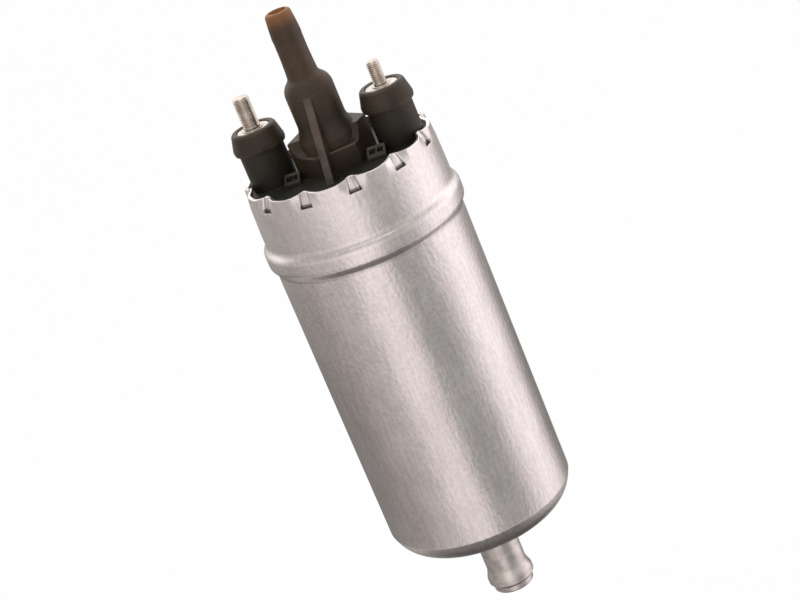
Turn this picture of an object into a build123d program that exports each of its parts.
"""Inline electric fuel pump.

A drawn can holds a gear pump stage at the bottom, a motor above it and a moulded end cap
crimped into the top. Sizes are in millimetres. +Z points to the outlet, and the origin is on
the axis, halfway up the straight stretch of can that the mounting band grips. The two
terminals stand on the X axis and the end cap's fin points to -Y.
"""

import os
from math import acos, asin, atan2, cos, degrees, pi, radians, sin

import numpy as np
from build123d import *

os.makedirs("parts", exist_ok=True)

# Can
can_r = 26.0
wall = 1.5
band_half = 40.6
crease_z = -41.0
corner_z = -39.4
corner_r = 8.3
bead_flank = 3.0
bead_crown = 2.6
bead_rise = 1.3
lean_z = 52.0
rim_z = 65.0
rim_r = 25.6
stake_count = 12
stake_start = 16.7
stake_width = 3.2
stake_foot_z = 60.8
stake_foot_r = 25.5
rim_wall = 1.0
tongue_in_r = 24.1
tongue_top = 64.5
tongue_top_r = 24.25
scallop_r = 19.8
scallop_depth = 1.1

can_floor = corner_z - corner_r
can_inner_r = can_r - wall
corner_turn = 2 * degrees(atan2(corner_z - crease_z, corner_r))
bead_top = band_half + 2 * bead_flank + bead_crown
fit_gap = 0.1

# Inlet
stem_r = 5.65
inlet_bore_r = 4.4
inlet_tip = -69.8
inlet_bead_r = 6.5
bead_cone_z = -63.1
bead_land_top = -65.7
bead_land_foot = -67.2
bead_foot = -68.0
tip_round = 0.6
flange_r = 16.5
flange_top = -43.7
inlet_seal_r = 9.0
inlet_seal_wire = 0.8
inlet_groove_top = -44.55
strainer_r = 9.9
strainer_rim = 0.9
strainer_height = 1.0
strainer_hole_r = 0.4
strainer_pitch = 0.75

# Pump stage
stage_r = 24.3
ring_foot = -36.2
ring_top = -28.2
plate_top = -22.7
chamber_r = 10.0
chamber_top = -41.2
plate_edge_z = -40.2
plate_foot_r = 21.5
pin_count = 7
pin_pitch_r = 10.0
pin_r = 2.8
gear_offset = 1.1
gear_play = 0.05
gear_outer_r = 13.5
gear_root_r = 9.45
gear_side_gap = 0.02
port_r = 7.9
port_width = 2.4
port_start = 35.0
port_sweep = 110.0
hub_r = 6.4
hub_top = -17.7
screw_r = 1.5
screw_circle_r = 19.3
screw_head_r = 2.6
screw_head = 2.0
screw_foot = -41.0
screw_hole_r = 1.7
screw_hex = 2.5

# Relief valve, at the side opposite the outer gear's offset
relief_x = -18.5
relief_bore_r = 2.8
relief_seat = 3.0
relief_hole_r = 1.0
relief_ball_r = 2.0
relief_spring_r = 1.5
relief_spring_wire = 0.25
relief_spring_turns = 7
relief_ledge = -38.2
relief_drain_z = -42.4
relief_drain_r = 0.8
relief_neck_r = 1.3

# Shaft and armature
shaft_r = 2.5
shaft_top = 49.5
shaft_flat_top = -25.0
shaft_flat = 1.8
shaft_pilot_top = -28.1
shaft_pilot_r = 1.7
shaft_foot = -39.0
pilot_floor = -39.2
running_gap = 0.02
bearing_r = 5.0
bearing_foot = -24.9
coupling_r = 5.3
coupling_room_r = 5.6
coupling_thick = 3.0
finger_r = 0.9
finger_circle_r = 4.2
finger_depth = 2.9
washer_r = 4.5
washer_thick = 0.5
collar_r = 3.5
core_r = 16.3
core_foot = -7.0
core_top = 25.0
slot_count = 8
slot_inner_r = 8.0
slot_outer_r = 14.2
slot_inner_half = 1.6
slot_outer_half = 4.1
slot_mouth = 1.8
winding_play = 0.2
winding_in_r = 4.2
winding_out_r = 14.8
winding_rise = 6.5
winding_round = 2.4
commutator_r = 12.5
commutator_foot = 33.5
commutator_top = 38.0
commutator_slit = 0.4
commutator_slit_depth = 1.2

# Magnets and their iron ring
flux_in_r = 21.85
flux_out_r = 24.4
flux_top = 34.0
magnet_in_r = 16.8
magnet_foot = -9.0
magnet_top = 27.0
magnet_half_angle = 70.0
clip_thick = 0.5
clip_half_angle = 18.8

# Brush carrier
carrier_out_r = 24.3
carrier_in_r = 21.6
carrier_top = 56.5
trough_foot = 50.0
trough_half = 6.0
trough_room = 4.5
carrier_hub_r = 5.6
carrier_hub_foot = 43.5
upper_bearing_r = 4.2
upper_bearing_top = 50.0
upper_bearing_foot = 44.0
brush_x = 10.0
brush_length_x = 6.0
brush_width = 5.0
brush_foot = 38.02
brush_top = 47.0
brush_play = 0.05
box_wall = 1.2
box_foot = 40.5
box_ceiling = 53.75
brush_spring_r = 1.9
brush_spring_wire = 0.25
brush_spring_turns = 5

# Terminals
terminal_x = 17.8
stud_r = {"left": 2.25, "right": 1.75}
shank_r = {"left": 2.9, "right": 2.4}
stud_top = {"left": 86.7, "right": 84.6}
stud_head_r = 3.5
stud_head_foot = 54.5
stud_point = 0.5
strip_thick = 0.4
strip_width = 4.0
strip_top = 53.7
strip_foot = 43.6
strip_leg_x = 14.4
strip_inner_x = 7.2
strip_outer_x = 19.8
choke_core_r = 1.5
choke_coil_r = 2.2
choke_wire = 0.4
choke_turns = 8
choke_gap = 0.6

# End cap
cap_r = 24.4
cap_top = 62.0
cap_edge = 0.5
cap_room_r = 19.5
cap_room_top = 58.5
cap_groove_r = 22.5
cap_groove_foot = 58.9
cap_groove_top = 61.1
cap_seal_wire = 0.95
pillar_r = 6.05
pillar_top = 78.1
pillar_top_r = 5.7
barb_foot = 72.5
barb_low_r = 6.85
barb_r = 7.05
barb_low = 73.2
barb_high = 73.9
barb_end = 77.6
barb_end_r = 6.1
disc_r = 4.4
disc_room_r = 4.5
disc_foot = 77.3
disc_thick = 0.5
pillar_foot_r = 4.7
stud_seal_z = 60.0
stud_seal_wire = 0.8
hex_r = 10.8
hex_turn = 14.0
hex_high = 71.5
hex_low = 67.8
hex_step_y = -2.6
hex_fillet = 3.7
tower_r = 6.48
tower_top = 83.6
tower_flare_r = 7.8
tower_flare_foot = 69.5
tower_flare_top = 74.1
fin_half = 1.0
fin_foot_y = -17.0
fin_rim_y = -16.4
fin_rim_z = 63.5
fin_top_y = -6.3
fin_top = 82.5
frame_x = {"left": 11.5, "right": 11.7}
frame_y = -6.6
frame_length = {"left": 4.3, "right": 5.0}
frame_width = 3.4
frame_front = 63.1
frame_back = 64.8
frame_window = 1.4
frame_window_gap = 1.9
passage_r = 3.2
valve_room_r = 4.9
valve_room_foot = 66.0

# Outlet nipple and check valve
nipple_plug_foot = 79.5
nipple_bore_r = 2.4
shoulder_z = 82.75
shoulder_r = 4.5
neck_fillet = 2.0
nipple_foot_r = 4.1
nipple_neck_z = 89.0
nipple_neck_r = 4.02
nipple_mid_z = 93.0
nipple_mid_r = 3.87
nipple_land_foot = 97.6
nipple_land_rise = 0.3
nipple_land_top = 98.6
nipple_land_r = 3.95
nipple_land_top_r = 3.92
nipple_taper_z = 102.0
nipple_taper_r = 3.7
nipple_mouth_r = 3.55
nipple_round = 1.0
outlet_tip = 104.6
seat_top = 68.5
seat_bore_r = 2.4
seat_cone = 1.0
poppet_r = 3.6
poppet_top = 70.0
poppet_gap = 0.03
stem_rod_r = 1.0
stem_rod_top = 79.0
valve_spring_r = 2.6
valve_spring_wire = 0.25
valve_spring_turns = 6
guide_foot = 77.0
guide_top = 79.0
guide_ring_r = 3.5
guide_hub_r = 2.0
guide_spoke = 1.2

shoulder_x = tower_r - shoulder_r
seam_turn = degrees(asin((tower_top - shoulder_z) / shoulder_r))
neck_turn = degrees(acos((nipple_foot_r + neck_fillet - shoulder_x) / (shoulder_r + neck_fillet)))
neck_z = shoulder_z + (shoulder_r + neck_fillet) * sin(radians(neck_turn))

sides = {"left": -1, "right": 1}


def bead_outline(radius):
    """An S curve out to the bead's flat crown and another back, from low to high."""
    half_flank = bead_flank / 2
    half_rise = bead_rise / 2
    rise = TangentArc(
        (radius, band_half), (radius + half_rise, band_half + half_flank), tangent=(0, 1)
    )
    foot = TangentArc(
        rise @ 1, (radius + bead_rise, band_half + bead_flank), tangent=rise % 1
    )
    crown = Line(foot @ 1, (radius + bead_rise, bead_top - bead_flank))
    fall = TangentArc(crown @ 1, (radius + half_rise, bead_top - half_flank), tangent=(0, 1))
    TangentArc(fall @ 1, (radius, bead_top), tangent=fall % 1)


def ring_sketch(outer, inner):
    """A flat ring on the axis, inside the open sketch."""
    Circle(outer)
    Circle(inner, mode=Mode.SUBTRACT)


def coil_edges(x, y, radius, low, high, turns):
    """A rising coil as one chain of tangent arcs, a quarter turn each."""
    steps = turns * 4
    points = []
    for step in range(steps + 1):
        angle = step * pi / 2
        height = low + (high - low) * step / steps
        points.append((x + radius * cos(angle), y + radius * sin(angle), height))
    climb = (high - low) / (2 * pi * radius * turns)
    arc = TangentArc(points[0], points[1], tangent=(0, 1, climb))
    for start, end in zip(points[1:-1], points[2:]):
        arc = TangentArc(start, end, tangent=arc % 1)


# Can: bottom, straight wall, bead and leaning collar. Stakes sheared out of its thinner rim are
# bent inward over the end cap
with BuildPart() as can:
    with BuildSketch(Plane.XZ) as can_section:
        with BuildLine():
            Line((stem_r, can_floor), (can_r - corner_r, can_floor))
            corner = CenterArc(
                (can_r - corner_r, corner_z), corner_r, -90, 90 - corner_turn
            )
            Line(corner @ 1, (can_r, crease_z))
            Line((can_r, crease_z), (can_r, band_half))
            bead_outline(can_r)
            Polyline(
                (can_r, bead_top),
                (can_r, lean_z),
                (rim_r, rim_z),
                (rim_r - rim_wall, rim_z),
                (rim_r - rim_wall, cap_top),
                (can_inner_r, cap_top),
                (can_inner_r, bead_top),
            )
            bead_outline(can_inner_r)
            Line((can_inner_r, band_half), (can_inner_r, corner_z))
            CenterArc((can_r - corner_r, corner_z), corner_r - wall, -90, 90)
            Line((can_r - corner_r, can_floor + wall), (stem_r, can_floor + wall))
            Line((stem_r, can_floor + wall), (stem_r, can_floor))
        make_face()
    revolve(axis=Axis.Z)
    for index in range(stake_count):
        turn = radians(stake_start + 360 * index / stake_count)
        radial_plane = Plane(
            (0, 0, 0), x_dir=(cos(turn), sin(turn), 0), z_dir=(sin(turn), -cos(turn), 0)
        )
        with BuildSketch(radial_plane):
            with BuildLine():
                Polyline(
                    (stake_foot_r, stake_foot_z),
                    (can_r + fit_gap, stake_foot_z),
                    (can_r + fit_gap, rim_z + fit_gap),
                    (can_inner_r, rim_z + fit_gap),
                    (can_inner_r, cap_top),
                    close=True,
                )
            make_face()
        extrude(amount=stake_width / 2, both=True, mode=Mode.SUBTRACT)
        with BuildSketch(radial_plane):
            with BuildLine():
                Polyline(
                    (can_inner_r, stake_foot_z),
                    (stake_foot_r, stake_foot_z),
                    (tongue_top_r, tongue_top),
                    (tongue_top_r - rim_wall, tongue_top),
                    (tongue_in_r, cap_top),
                    (can_inner_r, cap_top),
                    close=True,
                )
            make_face()
        extrude(amount=stake_width / 2, both=True)
    with Locations((0, 0, rim_z - scallop_depth + scallop_r)):
        with PolarLocations(can_r, stake_count, stake_start + 180 / stake_count):
            Cylinder(scallop_r, 4 * wall, rotation=(0, 90, 0), mode=Mode.SUBTRACT)
can.part.label = "can"
export_step(can.part, "parts/can.step")

# Inlet fitting: turned nipple with a flange clamped inside the can's bottom
with BuildPart() as inlet_fitting:
    with BuildSketch(Plane.XZ):
        with BuildLine():
            Polyline(
                (stem_r - tip_round, inlet_tip),
                (inlet_bore_r, inlet_tip),
                (inlet_bore_r, flange_top),
                (flange_r, flange_top),
                (flange_r, can_floor + wall),
                (stem_r, can_floor + wall),
                (stem_r, bead_cone_z),
                (inlet_bead_r, bead_land_top),
                (inlet_bead_r, bead_land_foot),
                (stem_r, bead_foot),
                (stem_r, inlet_tip + tip_round),
            )
            CenterArc((stem_r - tip_round, inlet_tip + tip_round), tip_round, -90, 90)
        make_face()
    revolve(axis=Axis.Z)
    with BuildSketch(Plane.XY.offset(can_floor + wall)):
        ring_sketch(inlet_seal_r + inlet_seal_wire + fit_gap, inlet_seal_r - inlet_seal_wire - fit_gap)
    extrude(amount=inlet_groove_top - can_floor - wall, mode=Mode.SUBTRACT)
inlet_fitting.part.label = "inlet_fitting"
export_step(inlet_fitting.part, "parts/inlet_fitting.step")

# Inlet seal: rubber ring in the flange's groove
with BuildPart() as inlet_seal:
    with Locations((0, 0, can_floor + wall + inlet_seal_wire)):
        Torus(inlet_seal_r, inlet_seal_wire)
inlet_seal.part.label = "inlet_seal"
export_step(inlet_seal.part, "parts/inlet_seal.step")

# Inlet strainer: perforated disc in a ring
with BuildPart() as inlet_strainer:
    with BuildSketch(Plane.XY.offset(flange_top)):
        ring_sketch(strainer_r, strainer_r - strainer_rim)
    extrude(amount=strainer_height)
    with BuildSketch(Plane.XY.offset(flange_top)):
        Circle(strainer_r - strainer_rim)
        with HexLocations(strainer_pitch, 9, 9):
            Circle(strainer_hole_r, mode=Mode.SUBTRACT)
    extrude(amount=strainer_height / 4)
inlet_strainer.part.label = "inlet_strainer"
export_step(inlet_strainer.part, "parts/inlet_strainer.step")

# Pump inlet plate: suction chamber below, suction port above, relief drain at one side
with BuildPart() as pump_inlet_plate:
    with BuildSketch(Plane.XZ):
        with BuildLine():
            Polyline(
                (0, flange_top),
                (plate_foot_r, flange_top),
                (stage_r, plate_edge_z),
                (stage_r, ring_foot),
                (0, ring_foot),
                close=True,
            )
        make_face()
    revolve(axis=Axis.Z)
    with BuildSketch(Plane.XY.offset(flange_top)):
        Circle(chamber_r)
    extrude(amount=chamber_top - flange_top, mode=Mode.SUBTRACT)
    with BuildSketch(Plane.XY.offset(ring_foot)):
        SlotArc(CenterArc((0, 0), port_r, 180 + port_start, port_sweep, mode=Mode.PRIVATE), port_width)
    extrude(amount=chamber_top - ring_foot, mode=Mode.SUBTRACT)
    with BuildSketch(Plane.XY.offset(pilot_floor)):
        Circle(shaft_pilot_r + running_gap)
    extrude(amount=ring_foot - pilot_floor, mode=Mode.SUBTRACT)
    with BuildSketch(Plane.XY.offset(screw_foot)):
        with PolarLocations(screw_circle_r, 4, 45):
            Circle(screw_r)
    extrude(amount=ring_foot - screw_foot, mode=Mode.SUBTRACT)
    with BuildSketch(Plane.XY.offset(relief_ledge)):
        with Locations((relief_x, 0)):
            Circle(relief_bore_r)
    extrude(amount=ring_foot - relief_ledge, mode=Mode.SUBTRACT)
    with BuildSketch(Plane.XY.offset(relief_drain_z)):
        with Locations((relief_x, 0)):
            Circle(relief_neck_r)
    extrude(amount=relief_ledge - relief_drain_z, mode=Mode.SUBTRACT)
    with BuildSketch(Plane.YZ.offset(relief_x)):
        with Locations((0, relief_drain_z)):
            Circle(relief_drain_r)
    extrude(amount=-relief_x - chamber_r + 1, mode=Mode.SUBTRACT)
pump_inlet_plate.part.label = "pump_inlet_plate"
export_step(pump_inlet_plate.part, "parts/pump_inlet_plate.step")

# Pump ring: eccentric bore for the outer gear
with BuildPart() as pump_ring:
    with BuildSketch(Plane.XY.offset(ring_foot)):
        Circle(stage_r)
        with Locations((gear_offset, 0)):
            Circle(gear_outer_r + gear_play, mode=Mode.SUBTRACT)
        with PolarLocations(screw_circle_r, 4, 45):
            Circle(screw_hole_r, mode=Mode.SUBTRACT)
        with Locations((relief_x, 0)):
            Circle(relief_bore_r, mode=Mode.SUBTRACT)
    extrude(amount=ring_top - ring_foot)
pump_ring.part.label = "pump_ring"
export_step(pump_ring.part, "parts/pump_ring.step")

# Outer gear: ring with seven round inner lobes
with BuildPart() as gear_outer:
    with BuildSketch(Plane.XY.offset(ring_foot + gear_side_gap)):
        with Locations((gear_offset, 0)):
            Circle(gear_outer_r)
            Circle(gear_root_r, mode=Mode.SUBTRACT)
            with PolarLocations(pin_pitch_r, pin_count):
                Circle(pin_r)
    extrude(amount=ring_top - ring_foot - 2 * gear_side_gap)
gear_outer.part.label = "gear_outer"
export_step(gear_outer.part, "parts/gear_outer.step")


def inner_gear_outline(points_per_lobe=16):
    """The inner gear's outline, as points evenly spaced along it.

    A lobe's middle follows C(t) = pitch * (cos t, sin t) + offset * (cos nt, sin nt), with n
    the number of outer lobes. The outline is that path moved inwards, square to itself, by
    the lobe's radius and the play.
    """
    t = np.linspace(0, 2 * pi, 4001)
    n = pin_count
    x = pin_pitch_r * np.cos(t) + gear_offset * np.cos(n * t)
    y = pin_pitch_r * np.sin(t) + gear_offset * np.sin(n * t)
    dx = -pin_pitch_r * np.sin(t) - n * gear_offset * np.sin(n * t)
    dy = pin_pitch_r * np.cos(t) + n * gear_offset * np.cos(n * t)
    speed = np.hypot(dx, dy)
    inset = pin_r + gear_play
    x_in = x - inset * dy / speed
    y_in = y + inset * dx / speed
    travelled = np.concatenate([[0], np.cumsum(np.hypot(np.diff(x_in), np.diff(y_in)))])
    stops = np.linspace(0, travelled[-1], (n - 1) * points_per_lobe + 1)[:-1]
    x_even = np.interp(stops, travelled, x_in)
    y_even = np.interp(stops, travelled, y_in)
    return [(float(px), float(py)) for px, py in zip(x_even, y_even)]


# Inner gear: six lobes, a bore on the shaft's pilot and two holes for the coupling's fingers
with BuildPart() as gear_inner:
    with BuildSketch(Plane.XY.offset(ring_foot + gear_side_gap)):
        with BuildLine():
            Spline(*inner_gear_outline(), periodic=True)
        make_face()
        Circle(shaft_pilot_r, mode=Mode.SUBTRACT)
        with PolarLocations(finger_circle_r, 2):
            Circle(finger_r, mode=Mode.SUBTRACT)
    extrude(amount=ring_top - ring_foot - 2 * gear_side_gap)
gear_inner.part.label = "gear_inner"
export_step(gear_inner.part, "parts/gear_inner.step")

# Pump outlet plate: delivery port, bearing hub, relief bore and screw holes
with BuildPart() as pump_outlet_plate:
    with BuildSketch(Plane.XY.offset(ring_top)):
        Circle(stage_r)
    extrude(amount=plate_top - ring_top)
    with BuildSketch(Plane.XY.offset(plate_top)):
        Circle(hub_r)
    extrude(amount=hub_top - plate_top)
    with BuildSketch(Plane.XY.offset(ring_top)):
        SlotArc(CenterArc((0, 0), port_r, port_start, port_sweep, mode=Mode.PRIVATE), port_width)
        with PolarLocations(screw_circle_r, 4, 45):
            Circle(screw_hole_r)
        with Locations((relief_x, 0)):
            Circle(relief_bore_r)
    extrude(amount=plate_top - ring_top, mode=Mode.SUBTRACT)
    with BuildSketch(Plane.XY.offset(ring_top)):
        Circle(coupling_room_r)
    extrude(amount=bearing_foot - ring_top, mode=Mode.SUBTRACT)
    with BuildSketch(Plane.XY.offset(bearing_foot)):
        Circle(bearing_r)
    extrude(amount=hub_top - bearing_foot, mode=Mode.SUBTRACT)
    with BuildSketch(Plane.XY.offset(plate_top - screw_head)):
        with PolarLocations(screw_circle_r, 4, 45):
            Circle(screw_head_r + fit_gap)
    extrude(amount=screw_head, mode=Mode.SUBTRACT)
pump_outlet_plate.part.label = "pump_outlet_plate"
export_step(pump_outlet_plate.part, "parts/pump_outlet_plate.step")

# Pump screws: four socket-head screws that hold the stage together
with BuildPart() as pump_screws:
    with BuildSketch(Plane.XY.offset(screw_foot)):
        with PolarLocations(screw_circle_r, 4, 45):
            Circle(screw_r)
    extrude(amount=plate_top - screw_head - screw_foot)
    with BuildSketch(Plane.XY.offset(plate_top - screw_head)):
        with PolarLocations(screw_circle_r, 4, 45):
            Circle(screw_head_r)
    extrude(amount=screw_head)
    with BuildSketch(Plane.XY.offset(plate_top - screw_head / 2)):
        with PolarLocations(screw_circle_r, 4, 45):
            RegularPolygon(screw_hex / 2, 6, major_radius=False)
    extrude(amount=screw_head / 2, mode=Mode.SUBTRACT)
pump_screws.part.label = "pump_screws"
export_step(pump_screws.part, "parts/pump_screws.step")

# Relief valve seat: pressed bush with a conical mouth that faces down
relief_seat_foot = plate_top - relief_seat
relief_axis = Axis((relief_x, 0, 0), (0, 0, 1))
with BuildPart() as relief_valve_seat:
    with BuildSketch(Plane.XZ):
        with BuildLine():
            Polyline(
                (relief_x + relief_hole_r, plate_top),
                (relief_x + relief_bore_r, plate_top),
                (relief_x + relief_bore_r, relief_seat_foot),
                (relief_x + relief_hole_r + 1, relief_seat_foot),
                (relief_x + relief_hole_r, relief_seat_foot + 1),
                close=True,
            )
        make_face()
    revolve(axis=relief_axis)
relief_valve_seat.part.label = "relief_valve_seat"
export_step(relief_valve_seat.part, "parts/relief_valve_seat.step")

# Relief valve ball, which touches the 45 degree mouth on a ring
ball_ring_r = relief_ball_r * sin(radians(45))
ball_z = relief_seat_foot + (relief_hole_r + 1 - ball_ring_r) - ball_ring_r - poppet_gap
with BuildPart() as relief_valve_ball:
    with Locations((relief_x, 0, ball_z)):
        Sphere(relief_ball_r)
relief_valve_ball.part.label = "relief_valve_ball"
export_step(relief_valve_ball.part, "parts/relief_valve_ball.step")

# Relief valve spring, between the ball and the ledge in the inlet plate
ball_reach = relief_ball_r + relief_spring_wire
relief_spring_high = ball_z - (ball_reach**2 - relief_spring_r**2) ** 0.5 - poppet_gap
relief_spring_low = relief_ledge + relief_spring_wire + poppet_gap
with BuildPart() as relief_valve_spring:
    with BuildLine() as relief_path:
        coil_edges(
            relief_x, 0, relief_spring_r, relief_spring_low, relief_spring_high, relief_spring_turns
        )
    with BuildSketch(Plane(relief_path.line @ 0, z_dir=relief_path.line % 0)):
        Circle(relief_spring_wire)
    sweep()
relief_valve_spring.part.label = "relief_valve_spring"
export_step(relief_valve_spring.part, "parts/relief_valve_spring.step")

# Lower bearing: sintered bush in the outlet plate's hub
with BuildPart() as lower_bearing:
    with BuildSketch(Plane.XY.offset(bearing_foot)):
        ring_sketch(bearing_r, shaft_r + running_gap)
    extrude(amount=hub_top - bearing_foot)
lower_bearing.part.label = "lower_bearing"
export_step(lower_bearing.part, "parts/lower_bearing.step")

# Upper bearing: sintered bush in the brush carrier's hub
with BuildPart() as upper_bearing:
    with BuildSketch(Plane.XY.offset(upper_bearing_foot)):
        ring_sketch(upper_bearing_r, shaft_r + running_gap)
    extrude(amount=upper_bearing_top - upper_bearing_foot)
upper_bearing.part.label = "upper_bearing"
export_step(upper_bearing.part, "parts/upper_bearing.step")

# Armature shaft: journal, collar below the core, two flats for the coupling, and a thin pilot
# through the inner gear
collar_foot = hub_top + running_gap + washer_thick
with BuildPart() as armature_shaft:
    with BuildSketch(Plane.XY.offset(collar_foot)):
        Circle(collar_r)
    extrude(amount=core_foot - collar_foot)
    with BuildSketch(Plane.XY.offset(shaft_flat_top)):
        Circle(shaft_r)
    extrude(amount=shaft_top - shaft_flat_top)
    with BuildSketch(Plane.XY.offset(shaft_pilot_top)):
        Circle(shaft_r)
        Rectangle(4 * shaft_r, 2 * shaft_flat, mode=Mode.INTERSECT)
    extrude(amount=shaft_flat_top - shaft_pilot_top)
    with BuildSketch(Plane.XY.offset(shaft_foot)):
        Circle(shaft_pilot_r)
    extrude(amount=shaft_pilot_top - shaft_foot)
armature_shaft.part.label = "armature_shaft"
export_step(armature_shaft.part, "parts/armature_shaft.step")

# Drive coupling: disc on the shaft's flats, with two fingers down into the inner gear
with BuildPart() as drive_coupling:
    with BuildSketch(Plane.XY.offset(shaft_pilot_top)):
        Circle(coupling_r)
        with BuildSketch(mode=Mode.PRIVATE) as flatted_hole:
            Circle(shaft_r)
            Rectangle(4 * shaft_r, 2 * shaft_flat, mode=Mode.INTERSECT)
        add(flatted_hole.sketch, mode=Mode.SUBTRACT)
    extrude(amount=coupling_thick)
    with BuildSketch(Plane.XY.offset(shaft_pilot_top)):
        with PolarLocations(finger_circle_r, 2):
            Circle(finger_r)
    extrude(amount=-finger_depth)
drive_coupling.part.label = "drive_coupling"
export_step(drive_coupling.part, "parts/drive_coupling.step")

# Thrust washer, between the lower bearing and the armature's collar
with BuildPart() as thrust_washer:
    with BuildSketch(Plane.XY.offset(hub_top + running_gap)):
        ring_sketch(washer_r, shaft_r)
    extrude(amount=washer_thick)
thrust_washer.part.label = "thrust_washer"
export_step(thrust_washer.part, "parts/thrust_washer.step")


def slot_outline(play):
    """One winding slot's outline, at the slot ring's middle radius, drawn in by the play."""
    half_depth = (slot_outer_r - slot_inner_r) / 2 - play
    return (
        (-half_depth, -slot_inner_half + play),
        (half_depth, -slot_outer_half + play),
        (half_depth, slot_outer_half - play),
        (-half_depth, slot_inner_half - play),
    )


slot_middle_r = (slot_inner_r + slot_outer_r) / 2

# Armature core: stack of laminations with eight slots
with BuildPart() as armature_core:
    with BuildSketch(Plane.XY.offset(core_foot)):
        ring_sketch(core_r, shaft_r)
        with PolarLocations(slot_middle_r, slot_count):
            Polygon(*slot_outline(0), align=None, mode=Mode.SUBTRACT)
        with PolarLocations(core_r - 1, slot_count):
            Rectangle(2 * (core_r - 1 - slot_outer_r) + 1, slot_mouth, mode=Mode.SUBTRACT)
    extrude(amount=core_top - core_foot)
armature_core.part.label = "armature_core"
export_step(armature_core.part, "parts/armature_core.step")

# Armature windings: copper in the slots, joined by a rounded ring of end turns at each end
with BuildPart() as armature_windings:
    with BuildSketch(Plane.XY.offset(core_foot)):
        with PolarLocations(slot_middle_r, slot_count):
            Polygon(*slot_outline(winding_play), align=None)
    extrude(amount=core_top - core_foot)
    with BuildSketch(Plane.XZ):
        winding_mid_r = (winding_in_r + winding_out_r) / 2
        with Locations((winding_mid_r, core_top + winding_rise / 2)):
            RectangleRounded(winding_out_r - winding_in_r, winding_rise, winding_round)
        with Locations((winding_mid_r, core_foot - winding_rise / 2)):
            RectangleRounded(winding_out_r - winding_in_r, winding_rise, winding_round)
    revolve(axis=Axis.Z)
armature_windings.part.label = "armature_windings"
export_step(armature_windings.part, "parts/armature_windings.step")

# Commutator: flat face of eight copper bars that the brushes stand on
with BuildPart() as commutator:
    with BuildSketch(Plane.XY.offset(core_top + winding_rise)):
        ring_sketch(winding_in_r, shaft_r)
    extrude(amount=commutator_foot - core_top - winding_rise)
    with BuildSketch(Plane.XY.offset(commutator_foot)):
        ring_sketch(commutator_r, shaft_r)
    extrude(amount=commutator_top - commutator_foot)
    with BuildSketch(Plane.XY.offset(commutator_top)):
        with PolarLocations((commutator_r + winding_in_r) / 2 + 0.5, slot_count, 22.5):
            Rectangle(commutator_r - winding_in_r + 1, commutator_slit)
    extrude(amount=-commutator_slit_depth, mode=Mode.SUBTRACT)
commutator.part.label = "commutator"
export_step(commutator.part, "parts/commutator.step")

# Flux ring: rolled steel tube that closes the magnets' field
with BuildPart() as flux_ring:
    with BuildSketch(Plane.XY.offset(plate_top)):
        ring_sketch(flux_out_r, flux_in_r)
    extrude(amount=flux_top - plate_top)
flux_ring.part.label = "flux_ring"
export_step(flux_ring.part, "parts/flux_ring.step")


def arc_band(inner, outer, middle_deg, half_deg):
    """A stretch of ring between two radii, centred on an angle, as a flat face."""
    first = radians(middle_deg - half_deg)
    last = radians(middle_deg + half_deg)
    with BuildSketch(mode=Mode.PRIVATE) as band:
        with BuildLine():
            CenterArc((0, 0), inner, middle_deg - half_deg, 2 * half_deg)
            CenterArc((0, 0), outer, middle_deg - half_deg, 2 * half_deg)
            Line((inner * cos(first), inner * sin(first)), (outer * cos(first), outer * sin(first)))
            Line((inner * cos(last), inner * sin(last)), (outer * cos(last), outer * sin(last)))
        make_face()
    return band.sketch


# Magnets: two curved blocks against the flux ring
for name, middle in (("magnet_front", -90), ("magnet_rear", 90)):
    with BuildPart() as magnet:
        with BuildSketch(Plane.XY.offset(magnet_foot)):
            add(arc_band(magnet_in_r, flux_in_r - fit_gap / 2, middle, magnet_half_angle))
        extrude(amount=magnet_top - magnet_foot)
    magnet.part.label = name
    export_step(magnet.part, f"parts/{name}.step")

# Magnet clips: two bent strips that push the magnets' edges apart
with BuildPart() as magnet_clips:
    with BuildSketch(Plane.XY.offset(magnet_foot)):
        clip_out_r = flux_in_r - fit_gap / 2
        for middle in (0, 180):
            add(arc_band(clip_out_r - clip_thick, clip_out_r, middle, clip_half_angle))
            for leg in (-1, 1):
                leg_angle = middle + leg * (clip_half_angle - 1)
                add(arc_band(magnet_in_r + 1, clip_out_r, leg_angle, 0.9))
    extrude(amount=magnet_top - magnet_foot)
magnet_clips.part.label = "magnet_clips"
export_step(magnet_clips.part, "parts/magnet_clips.step")

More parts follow.
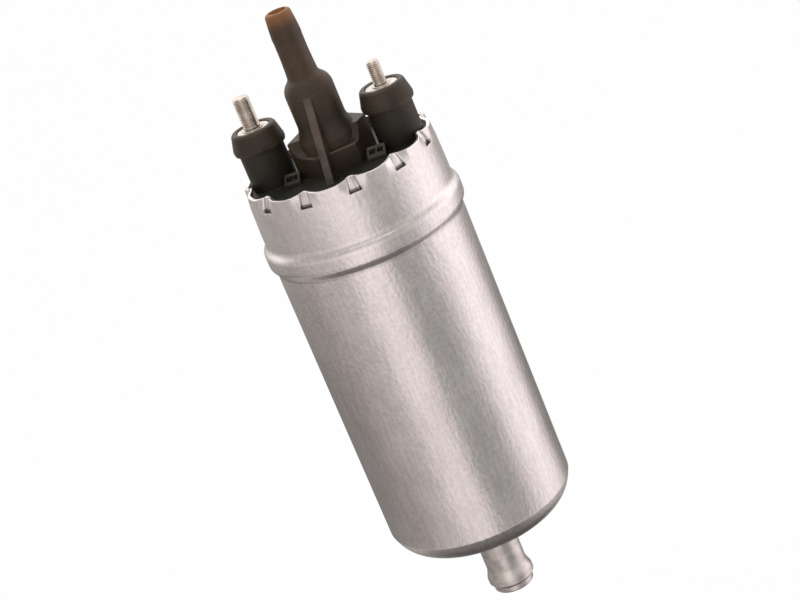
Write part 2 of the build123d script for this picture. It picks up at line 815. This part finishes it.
# Brush carrier: ring, cross trough, bearing hub and two brush boxes
box_half_x = brush_length_x / 2 + brush_play
box_half_y = brush_width / 2 + brush_play
with BuildPart() as brush_carrier:
    with BuildSketch(Plane.XY.offset(flux_top)):
        ring_sketch(carrier_out_r, carrier_in_r)
    extrude(amount=carrier_top - flux_top)
    with BuildSketch(Plane.XY.offset(trough_foot)):
        Rectangle(2 * carrier_in_r + 1, 2 * trough_half)
        with Locations((terminal_x, 0), (-terminal_x, 0)):
            Rectangle(2 * (carrier_in_r - terminal_x) - 0.4, 2 * trough_room, mode=Mode.SUBTRACT)
    extrude(amount=carrier_top - trough_foot)
    with BuildSketch(Plane.XY.offset(carrier_hub_foot)):
        Circle(carrier_hub_r)
    extrude(amount=trough_foot - carrier_hub_foot)
    with BuildSketch(Plane.XY.offset(box_foot)):
        with Locations((brush_x, 0), (-brush_x, 0)):
            Rectangle(2 * (box_half_x + box_wall), 2 * (box_half_y + box_wall))
    extrude(amount=trough_foot - box_foot)
    with BuildSketch(Plane.XY.offset(box_foot)):
        with Locations((brush_x, 0), (-brush_x, 0)):
            Rectangle(2 * box_half_x, 2 * box_half_y)
    extrude(amount=box_ceiling - box_foot, mode=Mode.SUBTRACT)
    with BuildSketch(Plane.XY.offset(strip_top - strip_thick - brush_play)):
        slot_end = strip_leg_x + strip_thick
        with Locations(((brush_x + slot_end) / 2, 0), (-(brush_x + slot_end) / 2, 0)):
            Rectangle(slot_end - brush_x + 2 * brush_play, strip_width + 2 * brush_play)
    extrude(amount=strip_thick + 2 * brush_play, mode=Mode.SUBTRACT)
    with BuildSketch(Plane.XY.offset(carrier_hub_foot)):
        Circle(upper_bearing_r)
    extrude(amount=upper_bearing_top - carrier_hub_foot, mode=Mode.SUBTRACT)
brush_carrier.part.label = "brush_carrier"
export_step(brush_carrier.part, "parts/brush_carrier.step")

# On each side: brush, its spring, the contact strip, the choke, the stud and its disc
for side, sign in sides.items():
    with BuildPart() as brush:
        with BuildSketch(Plane.XY.offset(brush_foot)):
            with Locations((sign * brush_x, 0)):
                Rectangle(brush_length_x, brush_width)
        extrude(amount=brush_top - brush_foot)
        chamfer(brush.edges().group_by(Axis.Z)[-1], 0.4)
    brush.part.label = f"brush_{side}"
    export_step(brush.part, f"parts/brush_{side}.step")

    with BuildPart() as brush_spring:
        with BuildLine() as brush_path:
            coil_edges(
                sign * brush_x,
                0,
                brush_spring_r,
                brush_top + brush_spring_wire + poppet_gap,
                strip_top - strip_thick - brush_spring_wire - poppet_gap,
                brush_spring_turns,
            )
        with BuildSketch(Plane(brush_path.line @ 0, z_dir=brush_path.line % 0)):
            Circle(brush_spring_wire)
        sweep()
    brush_spring.part.label = f"brush_spring_{side}"
    export_step(brush_spring.part, f"parts/brush_spring_{side}.step")

    with BuildPart() as contact_strip:
        with BuildSketch(Plane.XZ):
            with BuildLine():
                Polyline(
                    (sign * strip_inner_x, strip_top),
                    (sign * (strip_leg_x + strip_thick), strip_top),
                    (sign * (strip_leg_x + strip_thick), strip_foot + strip_thick),
                    (sign * strip_outer_x, strip_foot + strip_thick),
                    (sign * strip_outer_x, strip_foot),
                    (sign * strip_leg_x, strip_foot),
                    (sign * strip_leg_x, strip_top - strip_thick),
                    (sign * strip_inner_x, strip_top - strip_thick),
                    close=True,
                )
            make_face()
        extrude(amount=strip_width / 2, both=True)
    contact_strip.part.label = f"contact_strip_{side}"
    export_step(contact_strip.part, f"parts/contact_strip_{side}.step")

    with BuildPart() as choke:
        with BuildLine() as choke_path:
            coil_edges(
                sign * terminal_x,
                0,
                choke_coil_r,
                strip_foot + strip_thick + choke_gap,
                stud_head_foot - choke_gap,
                choke_turns,
            )
        with BuildSketch(Plane(choke_path.line @ 0, z_dir=choke_path.line % 0)):
            Circle(choke_wire)
        sweep()
        with BuildSketch(Plane.XY.offset(strip_foot + strip_thick)):
            with Locations((sign * terminal_x, 0)):
                Circle(choke_core_r)
        extrude(amount=stud_head_foot - strip_foot - strip_thick)
    choke.part.label = f"choke_{side}"
    export_step(choke.part, f"parts/choke_{side}.step")

    with BuildPart() as terminal_stud:
        with BuildSketch(Plane.XY.offset(stud_head_foot)):
            with Locations((sign * terminal_x, 0)):
                Circle(stud_head_r)
        extrude(amount=carrier_top - stud_head_foot)
        with BuildSketch(Plane.XY.offset(carrier_top)):
            with Locations((sign * terminal_x, 0)):
                Circle(shank_r[side])
        extrude(amount=pillar_top - carrier_top)
        with BuildSketch(Plane.XY.offset(pillar_top)):
            with Locations((sign * terminal_x, 0)):
                Circle(stud_r[side])
        extrude(amount=stud_top[side] - pillar_top)
        chamfer(terminal_stud.edges().group_by(Axis.Z)[-1], stud_point)
    terminal_stud.part.label = f"terminal_stud_{side}"
    export_step(terminal_stud.part, f"parts/terminal_stud_{side}.step")

    with BuildPart() as terminal_washer:
        with BuildSketch(Plane.XY.offset(disc_foot)):
            with Locations((sign * terminal_x, 0)):
                ring_sketch(disc_r, shank_r[side])
        extrude(amount=disc_thick)
    terminal_washer.part.label = f"terminal_washer_{side}"
    export_step(terminal_washer.part, f"parts/terminal_washer_{side}.step")

# Terminal seals: a rubber ring round each stud
with BuildPart() as terminal_seals:
    for side, sign in sides.items():
        with Locations((sign * terminal_x, 0, stud_seal_z)):
            Torus(shank_r[side] + stud_seal_wire, stud_seal_wire)
terminal_seals.part.label = "terminal_seals"
export_step(terminal_seals.part, "parts/terminal_seals.step")

# End cap: floor, terminal pillars, hexagonal boss, tower, fin and framed bosses
with BuildPart() as end_cap:
    with BuildSketch(Plane.XZ):
        with BuildLine():
            Polyline(
                (0, cap_top),
                (0, cap_room_top),
                (cap_room_r, cap_room_top),
                (cap_room_r, carrier_top),
                (cap_r, carrier_top),
                (cap_r, cap_groove_foot),
                (cap_groove_r, cap_groove_foot),
                (cap_groove_r, cap_groove_top),
                (cap_r, cap_groove_top),
                (cap_r, cap_top - cap_edge),
            )
            CenterArc((cap_r - cap_edge, cap_top - cap_edge), cap_edge, 0, 90)
            Line((cap_r - cap_edge, cap_top), (0, cap_top))
        make_face()
    revolve(axis=Axis.Z)
    # hexagonal boss, its front part cut low with a rounded rise behind
    with BuildSketch(Plane.XY.offset(cap_top)):
        RegularPolygon(hex_r, 6, rotation=hex_turn)
    extrude(amount=hex_high - cap_top)
    with BuildSketch(Plane.YZ):
        with BuildLine():
            Line((hex_step_y - hex_fillet, hex_low), (-2 * hex_r, hex_low))
            Line((-2 * hex_r, hex_low), (-2 * hex_r, hex_high))
            Line((-2 * hex_r, hex_high), (hex_step_y, hex_high))
            CenterArc((hex_step_y - hex_fillet, hex_high), hex_fillet, 0, -90)
        make_face()
    extrude(amount=2 * hex_r, both=True, mode=Mode.SUBTRACT)
    # tower with a flared foot
    with BuildSketch(Plane.XZ):
        with BuildLine():
            Line((0, cap_top), (tower_flare_r, cap_top))
            Line((tower_flare_r, cap_top), (tower_flare_r, tower_flare_foot))
            TangentArc(
                (tower_r, tower_flare_top),
                (tower_flare_r, tower_flare_foot),
                tangent=(0, -1),
            )
            Line((tower_r, tower_flare_top), (tower_r, shoulder_z))
            seam = CenterArc((shoulder_x, shoulder_z), shoulder_r, 0, seam_turn)
            Line(seam @ 1, (0, tower_top))
            Line((0, tower_top), (0, cap_top))
        make_face()
    revolve(axis=Axis.Z)
    # fin down the front
    with BuildSketch(Plane.YZ):
        with BuildLine():
            Polyline(
                (0, cap_top),
                (fin_foot_y, cap_top),
                (fin_rim_y, fin_rim_z),
                (fin_top_y, fin_top),
                (0, fin_top),
                close=True,
            )
        make_face()
    extrude(amount=fin_half, both=True)
    # framed bosses, their faces sloping down to the front, each with two small windows
    for side, sign in sides.items():
        with BuildSketch(Plane.YZ.offset(sign * frame_x[side])):
            with BuildLine():
                Polyline(
                    (frame_y - frame_width / 2, cap_top),
                    (frame_y - frame_width / 2, frame_front),
                    (frame_y + frame_width / 2, frame_back),
                    (frame_y + frame_width / 2, cap_top),
                    close=True,
                )
            make_face()
        extrude(amount=frame_length[side] / 2, both=True)
        with BuildSketch(Plane.XY.offset(cap_top)):
            with Locations((sign * frame_x[side], frame_y)):
                with GridLocations(frame_window_gap, 1, 2, 1):
                    Rectangle(frame_window, frame_window)
        extrude(amount=frame_back - cap_top, mode=Mode.SUBTRACT)
    # terminal pillars with a barb for a rubber boot, on feet that reach the carrier
    for sign in sides.values():
        pillar_plane = Plane((sign * terminal_x, 0, 0), x_dir=(1, 0, 0), z_dir=(0, -1, 0))
        with BuildSketch(pillar_plane):
            with BuildLine():
                Polyline(
                    (0, carrier_top),
                    (pillar_foot_r, carrier_top),
                    (pillar_foot_r, cap_top),
                    (pillar_r, cap_top),
                    (pillar_r, barb_foot),
                    (barb_low_r, barb_foot),
                    (barb_r, barb_low),
                    (barb_r, barb_high),
                    (barb_end_r, barb_end),
                    (pillar_top_r, pillar_top),
                    (0, pillar_top),
                    close=True,
                )
            make_face()
        revolve(axis=Axis((sign * terminal_x, 0, 0), (0, 0, 1)))
    with BuildSketch(Plane.XY.offset(disc_foot)):
        with Locations((terminal_x, 0), (-terminal_x, 0)):
            Circle(disc_room_r)
    extrude(amount=pillar_top - disc_foot, mode=Mode.SUBTRACT)
    for side, sign in sides.items():
        with BuildSketch(Plane.XY.offset(carrier_top)):
            with Locations((sign * terminal_x, 0)):
                Circle(shank_r[side])
        extrude(amount=pillar_top - carrier_top, mode=Mode.SUBTRACT)
        with BuildSketch(Plane.XY.offset(stud_seal_z - stud_seal_wire)):
            with Locations((sign * terminal_x, 0)):
                Circle(shank_r[side] + 2 * stud_seal_wire)
        extrude(amount=2 * stud_seal_wire, mode=Mode.SUBTRACT)
    # way out for the fuel: passage, then the check valve's room
    with BuildSketch(Plane.XY.offset(cap_room_top)):
        Circle(passage_r)
    extrude(amount=valve_room_foot - cap_room_top, mode=Mode.SUBTRACT)
    with BuildSketch(Plane.XY.offset(valve_room_foot)):
        Circle(valve_room_r)
    extrude(amount=tower_top - valve_room_foot, mode=Mode.SUBTRACT)
end_cap.part.label = "end_cap"
export_step(end_cap.part, "parts/end_cap.step")

# Cap seal: rubber ring in the end cap's groove
with BuildPart() as cap_seal:
    with Locations((0, 0, (cap_groove_foot + cap_groove_top) / 2)):
        Torus(cap_groove_r + cap_seal_wire + fit_gap / 2, cap_seal_wire)
cap_seal.part.label = "cap_seal"
export_step(cap_seal.part, "parts/cap_seal.step")

# Outlet nipple: plug in the tower, rounded shoulder, and a hose nipple with a slight barb
with BuildPart() as outlet_nipple:
    with BuildSketch(Plane.XZ):
        with BuildLine():
            shoulder = CenterArc(
                (shoulder_x, shoulder_z), shoulder_r, seam_turn, neck_turn - seam_turn
            )
            Polyline(
                (nipple_bore_r, outlet_tip),
                (nipple_bore_r, nipple_plug_foot),
                (valve_room_r, nipple_plug_foot),
                (valve_room_r, tower_top),
                shoulder @ 0,
            )
            neck = CenterArc(
                (nipple_foot_r + neck_fillet, neck_z), neck_fillet, 180, neck_turn
            )
            Line(neck @ 0, (nipple_neck_r, nipple_neck_z))
            Polyline(
                (nipple_neck_r, nipple_neck_z),
                (nipple_mid_r, nipple_mid_z),
                (nipple_mid_r, nipple_land_foot - nipple_land_rise),
                (nipple_land_r, nipple_land_foot),
                (nipple_land_top_r, nipple_land_top),
                (nipple_taper_r, nipple_taper_z),
                (nipple_mouth_r, outlet_tip - nipple_round),
            )
            CenterArc(
                (nipple_mouth_r - nipple_round, outlet_tip - nipple_round), nipple_round, 0, 90
            )
            Line((nipple_mouth_r - nipple_round, outlet_tip), (nipple_bore_r, outlet_tip))
        make_face()
    revolve(axis=Axis.Z)
outlet_nipple.part.label = "outlet_nipple"
export_step(outlet_nipple.part, "parts/outlet_nipple.step")

# Check valve seat: pressed bush with a conical mouth that faces up
with BuildPart() as check_valve_seat:
    with BuildSketch(Plane.XZ):
        with BuildLine():
            Polyline(
                (seat_bore_r, valve_room_foot),
                (valve_room_r, valve_room_foot),
                (valve_room_r, seat_top),
                (seat_bore_r + seat_cone, seat_top),
                (seat_bore_r, seat_top - seat_cone),
                close=True,
            )
        make_face()
    revolve(axis=Axis.Z)
check_valve_seat.part.label = "check_valve_seat"
export_step(check_valve_seat.part, "parts/check_valve_seat.step")

# Check valve poppet: cone on the seat, disc, and a stem that the guide holds
with BuildPart() as check_valve_poppet:
    with BuildSketch(Plane.XZ):
        with BuildLine():
            Polyline(
                (0, seat_top - seat_cone + poppet_gap),
                (seat_bore_r, seat_top - seat_cone + poppet_gap),
                (seat_bore_r + seat_cone, seat_top + poppet_gap),
                (poppet_r, seat_top + poppet_gap),
                (poppet_r, poppet_top),
                (stem_rod_r, poppet_top),
                (stem_rod_r, stem_rod_top),
                (0, stem_rod_top),
                close=True,
            )
        make_face()
    revolve(axis=Axis.Z)
check_valve_poppet.part.label = "check_valve_poppet"
export_step(check_valve_poppet.part, "parts/check_valve_poppet.step")

# Check valve spring, between the poppet and the guide
with BuildPart() as check_valve_spring:
    with BuildLine() as valve_path:
        coil_edges(
            0,
            0,
            valve_spring_r,
            poppet_top + valve_spring_wire + poppet_gap,
            guide_foot - valve_spring_wire - poppet_gap,
            valve_spring_turns,
        )
    with BuildSketch(Plane(valve_path.line @ 0, z_dir=valve_path.line % 0)):
        Circle(valve_spring_wire)
    sweep()
check_valve_spring.part.label = "check_valve_spring"
export_step(check_valve_spring.part, "parts/check_valve_spring.step")

# Check valve guide: ring with three spokes and a hub round the poppet's stem
with BuildPart() as check_valve_guide:
    with BuildSketch(Plane.XY.offset(guide_foot)):
        ring_sketch(valve_room_r, guide_ring_r)
        spoke_middle_r = (valve_room_r + stem_rod_r) / 2
        with PolarLocations(spoke_middle_r, 3):
            Rectangle(valve_room_r - stem_rod_r - 0.4, guide_spoke)
        Circle(guide_hub_r)
        Circle(stem_rod_r + 2 * running_gap, mode=Mode.SUBTRACT)
    extrude(amount=guide_top - guide_foot)
check_valve_guide.part.label = "check_valve_guide"
export_step(check_valve_guide.part, "parts/check_valve_guide.step")
